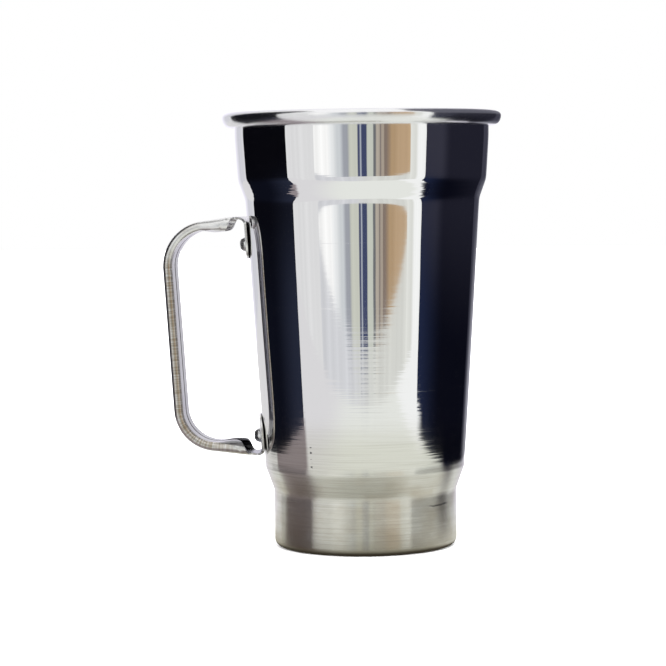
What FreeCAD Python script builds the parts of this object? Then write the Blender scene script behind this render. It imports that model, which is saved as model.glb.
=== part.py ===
"""Aluminium mixing cup with a riveted loop handle.

Frame: millimetres, +Z up, origin at the centre of the flat base, handle towards -X.
Four loose pieces: the spun cup, the handle rolled from one strip, and the two rivets that join them.
"""
import FreeCAD, Part
import math
import os

import Sketcher
from FreeCAD import Placement, Rotation, Vector

SIZES = {
    # cup, spun from one sheet: outer radii and the heights where the wall turns
    "sheet": 1.1,
    "foot_radius": 36.35,
    "foot_height": 22.4,
    "skirt_radius": 39.7,
    "skirt_height": 31.6,
    "waist_radius": 46.3,
    "waist_height": 137.0,
    "belly_height": 90.0,
    "belly_swell": 0.15,
    "belly_round": 4000.0,
    "collar_low_radius": 48.95,
    "collar_low_height": 145.8,
    "collar_radius": 50.3,
    "collar_height": 162.5,
    "cup_height": 172.25,
    "foot_round": 3.0,
    "soft_round": 7.0,
    "crisp_round": 3.0,
    # rolled rim: the sheet turns outwards and under
    "bead_radius": 3.0,
    "bead_turn": 300.0,
    # handle: one strip, its long edges rolled in to a C
    "strip": 0.9,
    "grip_width": 18.0,
    "grip_edge": 1.85,
    "grip_slot": 8.0,
    "upper_height": 131.2,
    "upper_reach": 80.9,
    "upper_drop": 3.9,
    "upper_corner": 18.2,
    "lower_height": 36.1,
    "lower_reach": 75.3,
    "lower_rise": 3.0,
    "lower_corner": 17.2,
    "arm_level": 2.0,
    "arm_corner": 12.0,
    "arm_start": 4.8,
    "arm_overlap": 0.6,
    "lip_cut": 3.2,
    # the strip's ends, left flat, turned in and curved to lie on the wall
    "tab_width": 28.0,
    "tab_length": 16.6,
    "tab_corner": 7.0,
    "tab_curve": 62.0,
    "tab_gap": 0.15,
    "bend_round": 2.6,
    # rivets
    "shank_radius": 2.0,
    "hole_clearance": 0.05,
    "hole_depth": 8.0,
    "upper_rivet_height": 120.2,
    "lower_rivet_height": 43.6,
    "closed_head_base": 3.05,
    "closed_head_face": 2.2,
    "closed_head_height": 3.0,
    "closed_head_round": 0.5,
    "inner_head_radius": 4.6,
    "inner_head_height": 1.3,
    "inner_head_round": 1.0,
    "inner_head_gap": 0.25,
}


class Length:
    """A number together with the expression over the sheet that gives it."""

    def __init__(self, number, text):
        self.number = number
        self.text = text

    def joined(self, other, sign, number):
        other_text = other.text if isinstance(other, Length) else str(other)
        return Length(number, f"({self.text} {sign} {other_text})")

    def __add__(self, other):
        return self.joined(other, "+", self.number + value_of(other))

    def __sub__(self, other):
        return self.joined(other, "-", self.number - value_of(other))

    def __mul__(self, other):
        return self.joined(other, "*", self.number * value_of(other))

    def __truediv__(self, other):
        return self.joined(other, "/", self.number / value_of(other))

    def __neg__(self):
        return Length(-self.number, f"(-1 * {self.text})")


def value_of(length):
    """The plain number of a Length or of a number."""
    return length.number if isinstance(length, Length) else length


doc = FreeCAD.newDocument("mixing_cup")
sheet = doc.addObject("Spreadsheet::Sheet", "sizes")
for row, (alias, value) in enumerate(SIZES.items(), start=1):
    sheet.set(f"A{row}", alias)
    sheet.set(f"B{row}", str(value))
    sheet.setAlias(f"B{row}", alias)
doc.recompute()


def size(alias):
    """A driving dimension, as the sheet holds it."""
    return Length(float(sheet.get(alias)), f"sizes.{alias}")


ZERO = Length(0.0, "0")
LEAST_CUT = 0.1  # mm3: a pocket that takes less than this has missed
ON_LEVEL = 0.2  # mm: how near an edge lies to the height that it is looked for at
WALL_LEAN = (size("waist_radius") - size("skirt_radius")) / (size("waist_height") - size("skirt_height"))
LEAN_ANGLE = Length(math.degrees(math.atan(WALL_LEAN.number)), f"atan({WALL_LEAN.text})")


def wall_radius(height):
    """Outer radius of the straight cone between the skirt and the waist."""
    return size("skirt_radius") + (height - size("skirt_height")) * WALL_LEAN


# ---------------------------------------------------------------- sketch helpers

def body_sketch(body, name, role="XZ_Plane"):
    """A sketch on one of the body's own origin planes."""
    sketch = body.newObject("Sketcher::SketchObject", name)
    plane = next(item for item in body.Origin.OriginFeatures if item.Role == role)
    sketch.AttachmentSupport = (plane, [""])
    sketch.MapMode = "FlatFace"
    return sketch


def constrain(sketch, kind, *place, length):
    """Adds a dimension and ties it to its expression."""
    index = sketch.addConstraint(Sketcher.Constraint(kind, *place, length.number))
    sketch.setExpression(f"Constraints[{index}]", length.text)


def pin(sketch, curve, end, across, up):
    """Fixes one point of a curve at (across, up)."""
    constrain(sketch, "DistanceX", -1, 1, curve, end, length=across)
    constrain(sketch, "DistanceY", -1, 1, curve, end, length=up)


def arc_between(start, finish, radius, bulge):
    """Arc from start to finish, bulging to the right of the way there if bulge is +1."""
    chord = finish - start
    sagitta = radius - math.sqrt(radius ** 2 - (chord.Length / 2) ** 2)
    side = Vector(chord.y, -chord.x, 0).normalize()
    return Part.Arc(start, start + chord / 2 + side * sagitta * bulge, finish)


def draw(sketch, corners, arcs=None, closed=True):
    """Lines through the corners; arcs maps a side's number to its radius and bulge. Returns end names."""
    arcs = arcs or {}
    points = [Vector(across.number, up.number, 0) for across, up in corners]
    sides = len(points) if closed else len(points) - 1
    first = sketch.GeometryCount
    for side in range(sides):
        start, finish = points[side], points[(side + 1) % len(points)]
        curve = Part.LineSegment(start, finish)
        if side in arcs:
            curve = arc_between(start, finish, arcs[side][0].number, arcs[side][1])
        sketch.addGeometry(curve, False)

    def end_at(side, point):
        near = sketch.getPoint(first + side, 1).distanceToPoint(point)
        return 1 if near < sketch.getPoint(first + side, 2).distanceToPoint(point) else 2

    for number, (across, up) in enumerate(corners):
        side = number if number < sides else number - 1
        own_end = end_at(side, points[number])
        pin(sketch, first + side, own_end, across, up)
        if number < sides and (closed or number > 0):
            before = (number - 1) % sides
            other_end = end_at(before, points[number])
            sketch.addConstraint(
                Sketcher.Constraint("Coincident", first + before, other_end, first + side, own_end))
    for side, (radius, _) in arcs.items():
        constrain(sketch, "Radius", first + side, length=radius)


def round_corner(sketch, side, radius):
    """Rounds the end of a straight side, keeping the sharp corner as the driving point."""
    sketch.fillet(side, 2, radius.number, True, True)
    constrain(sketch, "Radius", sketch.GeometryCount - 2, length=radius)


def feature(body, kind, name, sketch, **settings):
    """Adds a sketch-based feature and computes it."""
    item = body.newObject(f"PartDesign::{kind}", name)
    item.Profile = sketch
    for key, setting in settings.items():
        setattr(item, key, setting)
    doc.recompute()
    return item


def cut(body, name, sketch, depth):
    """Pocket of a given depth, half to each side of its sketch."""
    before = body.Tip.Shape.Volume
    pocket = feature(body, "Pocket", name, sketch, SideType="Symmetric")
    pocket.setExpression("Length", depth.text)
    doc.recompute()
    if body.Tip.Shape.Volume > before - LEAST_CUT:
        raise RuntimeError(f"{name} cuts nothing")


def turned(body, kind, name, corners, rounds):
    """Outline with rounded corners, turned about the body's Z axis; rounds maps a corner to its radius."""
    sketch = body_sketch(body, f"{name}_outline")
    draw(sketch, corners)
    for corner, radius in rounds.items():
        round_corner(sketch, corner - 1, radius)
    return feature(body, kind, name, sketch, ReferenceAxis=(sketch, ["V_Axis"]), Angle=360)


def drill(body, name, height):
    """Rivet hole square to the wall at a height on the handle's side."""
    sketch = body_sketch(body, f"{name}_circle", "YZ_Plane")
    sketch.setExpression("AttachmentOffset.Base.y", height.text)
    sketch.setExpression("AttachmentOffset.Base.z", f"-1 * {wall_radius(height).text}")
    sketch.AttachmentOffset = Placement(Vector(0, 0, 0), Rotation(Vector(1, 0, 0), -1))
    sketch.setExpression("AttachmentOffset.Rotation.Angle", f"-1 * {LEAN_ANGLE.text}")
    sketch.addGeometry(Part.Circle(Vector(0, 0, 0), Vector(0, 0, 1), size("shank_radius").number), False)
    sketch.addConstraint(Sketcher.Constraint("Coincident", 0, 3, -1, 1))
    constrain(sketch, "Radius", 0, length=size("shank_radius") + size("hole_clearance"))
    cut(body, name, sketch, size("hole_depth"))


# ---------------------------------------------------------------- cup

def skin(inset):
    """Corners of the cup's skin from the axis to the collar; inset moves it in and up by the sheet."""
    return [
        (ZERO, ZERO + inset),
        (size("foot_radius") - inset, ZERO + inset),
        (size("foot_radius") - inset, size("foot_height")),
        (size("skirt_radius") - inset, size("skirt_height")),
        (wall_radius(size("belly_height")) + size("belly_swell") - inset, size("belly_height")),
        (size("waist_radius") - inset, size("waist_height")),
        (size("collar_low_radius") - inset, size("collar_low_height")),
        (size("collar_radius") - inset, size("collar_height")),
    ]


def skin_rounds(inset):
    """Radius at each rounded corner of the skin; the foot's inner round is the smaller by the sheet."""
    names = ("foot_round", "soft_round", "crisp_round", "belly_round", "crisp_round", "soft_round")
    rounds = {corner: size(name) for corner, name in enumerate(names, start=1)}
    rounds[1] = rounds[1] - inset
    return rounds


def make_cup():
    """The outer shape, turned, then hollowed to the sheet, with a rolled bead and two rivet holes."""
    body = doc.addObject("PartDesign::Body", "cup_body")
    body.Label = "cup_body"
    top = size("cup_height") - size("bead_radius")
    mouth = size("collar_radius") - size("sheet")
    ends = {
        "blank": ("Revolution", ZERO, size("collar_radius")),
        "hollow": ("Groove", size("sheet"), mouth),
    }
    for name, (kind, inset, rim) in ends.items():
        turned(body, kind, name, skin(inset) + [(rim, top), (ZERO, top)], skin_rounds(inset))

    bead = body_sketch(body, "bead_section")
    draw_bead(bead, mouth + size("bead_radius"), top)
    feature(body, "Revolution", "bead", bead, ReferenceAxis=(bead, ["V_Axis"]), Angle=360)
    drill(body, "upper_wall_hole", size("upper_rivet_height"))
    drill(body, "lower_wall_hole", size("lower_rivet_height"))


def draw_bead(sketch, across, up):
    """Section of the rolled rim: a ring of sheet, left open where the edge turns back under the wall."""
    centre = Vector(across.number, up.number, 0)
    turn = size("bead_turn")
    start = math.radians(180 - turn.number)
    for radius in (size("bead_radius"), size("bead_radius") - size("sheet")):
        circle = Part.Circle(centre, Vector(0, 0, 1), radius.number)
        sketch.addGeometry(Part.ArcOfCircle(circle, start, math.pi), False)
    for end in (1, 2):
        sketch.addGeometry(Part.LineSegment(sketch.getPoint(0, end), sketch.getPoint(1, end)), False)
        sketch.addConstraint(Sketcher.Constraint("Coincident", 0, end, end + 1, 1))
        sketch.addConstraint(Sketcher.Constraint("Coincident", 1, end, end + 1, 2))
    sketch.addConstraint(Sketcher.Constraint("Coincident", 0, 3, 1, 3))
    sketch.addConstraint(Sketcher.Constraint("Horizontal", 3))
    sketch.addConstraint(Sketcher.Constraint("PointOnObject", 0, 3, 3))
    sketch.addConstraint(Sketcher.Constraint("PointOnObject", 0, 3, 2))
    pin(sketch, 0, 3, across, up)
    constrain(sketch, "Radius", 0, length=size("bead_radius"))
    constrain(sketch, "Radius", 1, length=size("bead_radius") - size("sheet"))
    constrain(sketch, "Angle", 0, length=Length(math.radians(turn.number), f"{turn.text} * 1 deg"))


# ---------------------------------------------------------------- handle

def arm_start(height):
    """Where the rolled part of an arm begins, as a distance from the cup's axis."""
    return wall_radius(height) + size("arm_start")


def make_handle():
    """The strip rolled along its path, the flat ends turned in as tabs, the lips cut back, two holes."""
    body = doc.addObject("PartDesign::Body", "handle")
    body.Label = "handle"
    path = body_sketch(body, "path")
    draw_path(path)
    section = body_sketch(body, "section", "YZ_Plane")
    section.setExpression("AttachmentOffset.Base.y", size("upper_height").text)
    section.setExpression("AttachmentOffset.Base.z", (-arm_start(size("upper_height"))).text)
    draw_section(section)
    feature(body, "AdditivePipe", "rolled", section, Spine=(path, []))
    for name, height, turn in (("upper", size("upper_height"), -1), ("lower", size("lower_height"), 1)):
        make_tab(body, name, height, turn)
        round_tab(body, name, height, turn)
        trim_neck(body, name, height)
        cut_lips(body, name, height, turn)
        drill(body, f"{name}_tab_hole", size(f"{name}_rivet_height"))


def draw_path(sketch):
    """Centre path on the strip's outer face: out along the upper arm, down the grip, back along the lower."""
    upper, lower = size("upper_height"), size("lower_height")
    corners = [
        (-arm_start(upper), upper),
        (-(arm_start(upper) + size("arm_level")), upper),
        (-size("upper_reach"), upper - size("upper_drop")),
        (-size("lower_reach"), lower + size("lower_rise")),
        (-(arm_start(lower) + size("arm_level")), lower),
        (-arm_start(lower), lower),
    ]
    draw(sketch, corners, closed=False)
    rounds = ("arm_corner", "upper_corner", "lower_corner", "arm_corner")
    for side, name in enumerate(rounds):
        round_corner(sketch, side, size(name))


def draw_section(sketch):
    """C of the strip's thickness: a flat web outwards, rolled edges, lips with a slot towards the cup."""
    strip, edge, web = size("strip"), size("grip_edge"), size("grip_width") / 2 - size("grip_edge")
    half = [
        (web, ZERO),
        (web + edge, -edge),
        (web, -edge * 2),
        (size("grip_slot") / 2, -edge * 2),
        (size("grip_slot") / 2, strip - edge * 2),
        (web, strip - edge * 2),
        (web + edge - strip, -edge),
        (web, -strip),
    ]
    mirrored = [(-across, up) for across, up in reversed(half)]
    arcs = {}
    for side, radius, bulge in ((0, edge, -1), (1, edge, -1), (5, edge - strip, 1), (6, edge - strip, 1)):
        arcs[side] = (radius, bulge)
        arcs[14 - side] = (radius, bulge)
    draw(sketch, half + mirrored, arcs)


def make_tab(body, name, height, turn):
    """Flat end of the strip: out of the arm, round the bend and along the wall, curved about a far axis."""
    strip = size("strip")
    back = size("tab_gap")
    level = wall_radius(height)
    tip = height + size("tab_length") * turn
    axis = size("tab_curve") - wall_radius((height + tip) / 2)
    sketch = body_sketch(body, f"{name}_tab_outline")
    root = arm_start(height) + size("arm_overlap")
    corners = [
        (-root, height),
        (-(level + back), height),
        (-(wall_radius(tip) + back), tip),
        (-(wall_radius(tip) + back + strip), tip),
        (-(level + back + strip), height + strip * turn),
        (-root, height + strip * turn),
    ]
    draw(sketch, corners)
    round_corner(sketch, 0, size("bend_round"))
    round_corner(sketch, 3, size("bend_round") - strip)
    far_end = Vector(axis.number, size("tab_length").number, 0)
    line = sketch.addGeometry(Part.LineSegment(Vector(axis.number, 0, 0), far_end), True)
    sketch.addConstraint(Sketcher.Constraint("Vertical", line))
    pin(sketch, line, 1, axis, ZERO)
    constrain(sketch, "DistanceY", line, 1, line, 2, length=size("tab_length"))
    tab = feature(body, "Revolution", f"{name}_tab", sketch, ReferenceAxis=(sketch, ["Axis0"]), Midplane=True)
    half_turn = f"asin({size('tab_width').text} / 2 / {size('tab_curve').text})"
    tab.setExpression("Angle", f"2 * {half_turn}")
    doc.recompute()


def cut_lips(body, name, height, turn):
    """Slanting cut through the rolled edges at the end of an arm, up to the flat web."""
    start = arm_start(height)
    web, deep = size("strip") * turn, size("grip_edge") * 3 * turn
    before = size("arm_overlap") * 2
    corners = [
        (-(start - before), height + web),
        (-start, height + web),
        (-(start + size("lip_cut")), height + deep),
        (-(start - before), height + deep),
    ]
    sketch = body_sketch(body, f"{name}_lip_cut_outline")
    draw(sketch, corners)
    cut(body, f"{name}_lip_cut", sketch, size("grip_width") * 2)


def trim_neck(body, name, height):
    """Narrows the flat web from the tab's width to that of the arm's flat face, on both sides."""
    root, bend = arm_start(height) + size("arm_overlap"), wall_radius(height)
    web = size("grip_width") / 2 - size("grip_edge")
    wide = size("tab_width") / 2
    for side, word in ((1, "left"), (-1, "right")):
        corners = [
            (-bend, wide * side),
            (-root, web * side),
            (-(root + size("strip")), web * side),
            (-(root + size("strip")), wide * 1.5 * side),
            (-bend, wide * 1.5 * side),
        ]
        sketch = body_sketch(body, f"{name}_{word}_neck_outline", "XY_Plane")
        sketch.setExpression("AttachmentOffset.Base.z", height.text)
        draw(sketch, corners)
        cut(body, f"{name}_{word}_neck", sketch, size("bend_round") * 2)


def round_tab(body, name, height, turn):
    """Rounds the two corners at the free end of a tab."""
    tip = (height + size("tab_length") * turn).number
    short, aside = 2 * size("strip").number, size("tab_corner").number
    edges = []
    for number, edge in enumerate(body.Tip.Shape.Edges, start=1):
        centre = edge.BoundBox.Center
        if edge.Length < short and abs(centre.z - tip) < ON_LEVEL and abs(centre.y) > aside:
            edges.append(f"Edge{number}")
    fillet = body.newObject("PartDesign::Fillet", f"{name}_tab_corners")
    fillet.Base = (fillet.BaseFeature, edges)
    fillet.setExpression("Radius", "sizes.tab_corner")
    doc.recompute()


# ---------------------------------------------------------------- rivets

def make_rivet(name, height):
    """Turned about its own axis, which stands square to the wall: inner head, shank, closed outer head."""
    body = doc.addObject("PartDesign::Body", name)
    body.Label = name
    inside = size("sheet") + size("inner_head_gap")
    outside = size("strip") + size("tab_gap")
    corners = [
        (ZERO, -(inside + size("inner_head_height"))),
        (size("inner_head_radius"), -(inside + size("inner_head_height"))),
        (size("inner_head_radius"), -inside),
        (size("shank_radius"), -inside),
        (size("shank_radius"), outside),
        (size("closed_head_base"), outside),
        (size("closed_head_face"), outside + size("closed_head_height")),
        (ZERO, outside + size("closed_head_height")),
    ]
    rounds = {1: size("inner_head_round"), 5: size("closed_head_round"), 6: size("closed_head_round")}
    turned(body, "Revolution", f"{name}_turned", corners, rounds)
    body.Placement = Placement(Vector(0, 0, 0), Rotation(Vector(0, 1, 0), -90))
    body.setExpression("Placement.Base.x", (-wall_radius(height)).text)
    body.setExpression("Placement.Base.z", height.text)
    body.setExpression("Placement.Rotation.Angle", f"-90 deg - {LEAN_ANGLE.text}")


def write_parts(labels):
    """Checks every object and every piece, then writes each piece to its own file."""
    doc.recompute()
    for item in doc.Objects:
        if "Invalid" in item.State or "Error" in item.State:
            raise RuntimeError(f"{item.Name} did not compute")
    pieces = [doc.getObjectsByLabel(label)[0] for label in labels]
    for piece in pieces:
        if piece.Shape.isNull() or not piece.Shape.isValid() or len(piece.Shape.Solids) != 1:
            raise RuntimeError(f"{piece.Label} is not one valid solid")
    os.makedirs("parts", exist_ok=True)
    for piece in pieces:
        piece.Shape.exportStep(f"parts/{piece.Label}.step")
        print(piece.Label, round(piece.Shape.Volume), "mm3")


make_cup()
make_handle()
make_rivet("upper_rivet", size("upper_rivet_height"))
make_rivet("lower_rivet", size("lower_rivet_height"))
write_parts(["cup_body", "handle", "upper_rivet", "lower_rivet"])
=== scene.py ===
"""Looks of the mixing cup: polished spun shell, rolled strip handle and two rivets, on a pale floor.

Lengths are in metres, in the frame of the CAD model: +Z up, origin at the centre of the flat base,
handle towards -X. Angles are in degrees.
"""
import math

import bpy
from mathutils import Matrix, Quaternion, Vector, noise


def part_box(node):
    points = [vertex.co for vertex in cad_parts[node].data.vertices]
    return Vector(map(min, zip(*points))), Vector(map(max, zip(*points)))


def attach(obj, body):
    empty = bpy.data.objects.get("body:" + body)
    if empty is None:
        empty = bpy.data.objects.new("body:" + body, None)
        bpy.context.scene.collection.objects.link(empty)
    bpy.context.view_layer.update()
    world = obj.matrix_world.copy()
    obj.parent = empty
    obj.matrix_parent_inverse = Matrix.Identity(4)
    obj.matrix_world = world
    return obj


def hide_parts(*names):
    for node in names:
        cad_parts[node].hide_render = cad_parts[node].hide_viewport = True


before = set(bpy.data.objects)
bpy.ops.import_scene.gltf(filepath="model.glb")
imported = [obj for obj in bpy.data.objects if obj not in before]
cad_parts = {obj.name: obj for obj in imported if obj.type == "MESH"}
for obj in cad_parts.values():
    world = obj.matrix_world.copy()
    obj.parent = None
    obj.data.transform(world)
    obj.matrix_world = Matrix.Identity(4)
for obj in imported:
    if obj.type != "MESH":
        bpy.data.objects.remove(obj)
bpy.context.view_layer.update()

MM = 0.001

# ---------------------------------------------------------------- driving dimensions

# The cup: its sheet, the bead rolled round its rim, and (radius, height) corners of its outer line.
CUP_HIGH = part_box("cup_body")[1]
HEIGHT = CUP_HIGH[2]
RIM_RADIUS = CUP_HIGH[0]
SHEET = 1.1 * MM
BEAD = 3.0 * MM
BEAD_TURN = 300.0
BEAD_ABOVE, BEAD_BELOW = 1.9 * MM, 3.8 * MM  # the bead's height above and below its widest place
MOUTH = RIM_RADIUS - 2 * BEAD
COLLAR = MOUTH + SHEET
FOOT = (36.35 * MM, 22.4 * MM)
SKIRT = (39.7 * MM, 31.6 * MM)
WAIST = (46.3 * MM, 137.0 * MM)
COLLAR_LOW = (49.25 * MM, 145.8 * MM)
COLLAR_HIGH = (COLLAR, 162.5 * MM)
BASE_ROUND, FOOT_ROUND, SKIRT_ROUND, COLLAR_ROUND = 3.0 * MM, 7.0 * MM, 3.0 * MM, 60.0 * MM
COLLAR_EASE = 6.0 * MM  # how far below its upper corner the collar's rounding starts
BELLY_HEIGHT = 90.0 * MM
BELLY_SWELL = 0.15 * MM
BELLY_SPREAD = 38.0 * MM

# The cup's mesh: where the wall's formula takes over from the base, and how far apart the rings are.
BASE_TOP = 60.0 * MM
WALL_RING, STEP_RING, COLLAR_RING = 2.5 * MM, 0.45 * MM, 1.0 * MM
STEP_REACH = 12.0 * MM  # how far above and below the middle of the step its own spacing holds
CUP_SEGMENTS = 224
BEAD_INNER_STEPS, BEAD_OUTER_STEPS = 40, 56
SHARP_TURN = 50.0

# The handle: one strip whose edges are rolled in along the grip, with arms that end in riveted tabs.
STRIP = 0.9 * MM
GRIP_WIDTH = 15.6 * MM
GRIP_EDGE = 1.85 * MM
UPPER = 131.2 * MM
LOWER = 36.1 * MM
UPPER_REACH = 80.9 * MM
LOWER_REACH = 75.3 * MM
UPPER_DROP = 3.9 * MM
LOWER_RISE = 3.0 * MM
UPPER_ROUND, LOWER_ROUND, ARM_ROUND = 18.2 * MM, 17.2 * MM, 12.0 * MM
ARM_START = 4.8 * MM
ARM_LEVEL = 2.0 * MM
TAB_WIDTH = 28.0 * MM
TAB_LENGTH = 16.6 * MM
TAB_CORNER = 7.0 * MM
TAB_GAP = 0.15 * MM
UPPER_TAB_CURVE, LOWER_TAB_CURVE = 70.0 * MM, 50.0 * MM  # radii to which the tabs are bent round the wall
BEND = 2.6 * MM
LIP = 5.4 * MM
LIP_CUT = 6.5 * MM
FLARE, FLARE_LENGTH = 0.8 * MM, 9.0 * MM  # how much looser the roll starts, and how soon it is tight
EDGE_BREAK = 0.18 * MM

# The handle's mesh: steps along the path, and rows across the strip, closer together near its ends.
PATH_STEP = 0.8 * MM
FINE_ROW, COARSE_ROW = 0.35 * MM, 1.0 * MM
FINE_LENGTH = 30.0 * MM
WEB_STEPS, ROLL_STEPS, LIP_STEPS = 6, 16, 3

# The rivets: heights on the wall, shank, and heads as (radius, height, rounding) corners: the smooth head
# inside from its crown to its foot, and the head closed over the tab from its foot to its top, with dents.
UPPER_RIVET = 120.2 * MM
LOWER_RIVET = 43.6 * MM
SHANK_RADIUS, SHANK_ROUND = 2.0 * MM, 0.05 * MM
HEAD_GAP = 0.25 * MM
SMOOTH_HEAD = (
    (0.0, 1.3 * MM, 0.0),
    (2.9 * MM, 1.25 * MM, 4.0 * MM),
    (4.6 * MM, 0.5 * MM, 0.5 * MM),
    (4.6 * MM, 0.0, 0.15 * MM),
)
CLOSED_HEAD = (
    (3.05 * MM, 0.0, 0.25 * MM),
    (2.85 * MM, 1.3 * MM, 0.6 * MM),
    (2.15 * MM, 2.6 * MM, 0.5 * MM),
    (1.5 * MM, 3.0 * MM, 0.5 * MM),
    (0.0, 3.0 * MM, 0.0),
)
DENTS_START = 1.0 * MM  # height on the closed head above which its dents are full
RIVET_STEP = 0.4 * MM
RIVET_SEGMENTS = 72
SIDE_DENTS, TOP_DENTS = 450, 600  # dents to a metre
SIDE_DENT, TOP_DENT = 0.22 * MM, 0.12 * MM

# Slopes of the wall and the collar, and the soft step between them.
WALL_LEAN = (WAIST[0] - SKIRT[0]) / (WAIST[1] - SKIRT[1])
COLLAR_LEAN = (COLLAR_HIGH[0] - COLLAR_LOW[0]) / (COLLAR_HIGH[1] - COLLAR_LOW[1])
STEP_FOOT, STEP_HEAD = 138.0 * MM, 145.4 * MM  # where the step's cone would meet the wall and the collar
CRISP, SOFT = 0.5 * MM, 2.6 * MM  # how gradual the step's bends are; a little of each bend is soft
SOFT_SHARE = 0.15


def wall_radius(height):
    """Outer radius of the straight cone between the skirt and the waist."""
    return SKIRT[0] + (height - SKIRT[1]) * WALL_LEAN


def eased(distance, softness):
    """Distance past a bend where the slope turns from 0 to 1 over a few times the softness."""
    share = distance / softness
    return softness * (max(share, 0.0) + math.log1p(math.exp(-abs(share))))


def bend(height, place):
    """Way past a bend that is mostly crisp."""
    return (1 - SOFT_SHARE) * eased(height - place, CRISP) + SOFT_SHARE * eased(height - place, SOFT)


def upper_radius(height):
    """Outer radius from the middle of the wall, through the soft step, to the collar."""
    low = wall_radius(STEP_FOOT)
    high = COLLAR_LOW[0] + (STEP_HEAD - COLLAR_LOW[1]) * COLLAR_LEAN
    step_lean = (high - low) / (STEP_HEAD - STEP_FOOT)
    belly = BELLY_SWELL * math.exp(-((height - BELLY_HEIGHT) / BELLY_SPREAD) ** 2)
    return (wall_radius(height) + belly + (step_lean - WALL_LEAN) * bend(height, STEP_FOOT)
            + (COLLAR_LEAN - step_lean) * bend(height, STEP_HEAD))


# ---------------------------------------------------------------- outlines

ARC_LEAST_STEPS = 6
ARC_STEP = 4.0  # degrees at most to a step where a corner is rounded


def arc(centre, radius, start, turn, steps):
    """Points on an arc, from an angle through a turn, both in radians."""
    points = []
    for step in range(steps + 1):
        angle = start + turn * step / steps
        points.append(centre + Vector((math.cos(angle), math.sin(angle))) * radius)
    return points


def rounded(corners, longest):
    """Points through (across, up, radius) corners, with arcs at them and short steps in between."""
    spots = [Vector(corner[:2]) for corner in corners]
    path = [spots[0]]
    for number in range(1, len(spots) - 1):
        here, radius = spots[number], corners[number][2]
        back, ahead = (spots[number - 1] - here).normalized(), (spots[number + 1] - here).normalized()
        half = back.angle(ahead) / 2
        centre = here + (back + ahead).normalized() * radius / math.sin(half)
        spoke = here + back * radius / math.tan(half) - centre
        turn = math.copysign(math.pi - 2 * half, ahead.cross(back))
        steps = max(ARC_LEAST_STEPS, math.ceil(abs(math.degrees(turn)) / ARC_STEP))
        path += arc(centre, radius, math.atan2(spoke.y, spoke.x), turn, steps)
    path.append(spots[-1])
    points = [path[0]]
    for spot in path[1:]:
        steps = max(1, math.ceil((spot - points[-1]).length / longest))
        begin = points[-1]
        points += [begin.lerp(spot, step / steps) for step in range(1, steps + 1)]
    return points


def skin(inset):
    """Points of the cup's skin from the axis to the rim; inset is the sheet for the inner skin."""
    base = rounded([
        (0.0, inset, 0.0),
        (FOOT[0] - inset, inset, BASE_ROUND - inset),
        (FOOT[0] - inset, FOOT[1], FOOT_ROUND),
        (SKIRT[0] - inset, SKIRT[1], SKIRT_ROUND),
        (upper_radius(BASE_TOP) - inset, BASE_TOP, 0.0),
    ], WALL_RING)
    wall = []
    height = BASE_TOP
    while height < COLLAR_HIGH[1] - COLLAR_EASE:
        near_step = abs(height - (STEP_FOOT + STEP_HEAD) / 2) < STEP_REACH
        height += STEP_RING if near_step else WALL_RING
        wall.append(Vector((upper_radius(height) - inset, height)))
    collar = rounded([
        (wall[-1].x, wall[-1].y, 0.0),
        (COLLAR_HIGH[0] - inset, COLLAR_HIGH[1], COLLAR_ROUND),
        (COLLAR_HIGH[0] - inset, HEIGHT - BEAD, 0.0),
    ], COLLAR_RING)
    return base + wall + collar[1:]


# ---------------------------------------------------------------- mesh builders

def new_piece(name, vertices, faces, node):
    """A smooth mesh that rides on the root body and stands for a CAD node."""
    mesh = bpy.data.meshes.new(name)
    mesh.from_pydata(vertices, [], faces)
    mesh.shade_smooth()
    piece = bpy.data.objects.new(name, mesh)
    bpy.context.collection.objects.link(piece)
    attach(piece, "root")
    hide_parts(node)
    return piece


def lathe(outline, segments):
    """Vertices and faces of an outline of (radius, height) turned about Z; its ends lie on the axis."""
    inner = outline[1:-1]
    vertices = [(0.0, 0.0, outline[0][1])]
    for radius, height in inner:
        for step in range(segments):
            angle = 2 * math.pi * step / segments
            vertices.append((radius * math.cos(angle), radius * math.sin(angle), height))
    vertices.append((0.0, 0.0, outline[-1][1]))
    last = len(vertices) - 1
    faces = []
    for step in range(segments):
        after = (step + 1) % segments
        faces.append((0, 1 + after, 1 + step))
        for ring in range(len(inner) - 1):
            low, high = 1 + ring * segments, 1 + (ring + 1) * segments
            faces.append((low + step, low + after, high + after, high + step))
        end = 1 + (len(inner) - 1) * segments
        faces.append((end + step, end + after, last))
    return vertices, faces


# ---------------------------------------------------------------- pieces

def make_cup():
    """Shell from the base's outer centre, up the wall, round the rolled rim and down inside."""
    outer = skin(0.0)
    inner = skin(SHEET)
    centre = Vector((MOUTH + BEAD, HEIGHT - BEAD_ABOVE))
    turn = math.radians(BEAD_TURN)
    under = arc(centre, BEAD - SHEET, math.pi, -turn, BEAD_INNER_STEPS)
    over = arc(centre, BEAD, math.pi - turn, turn, BEAD_OUTER_STEPS)
    for spot in under + over:
        half = BEAD_BELOW if spot.y < centre.y else BEAD_ABOVE
        spot.y = centre.y + (spot.y - centre.y) * half / BEAD
    outline = outer[:-1] + under + over + list(reversed(inner))[1:]
    vertices, faces = lathe(outline, CUP_SEGMENTS)
    piece = new_piece("cup_shell", vertices, faces, "cup_body")
    piece.data.set_sharp_from_angle(angle=math.radians(SHARP_TURN))
    return piece


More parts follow.
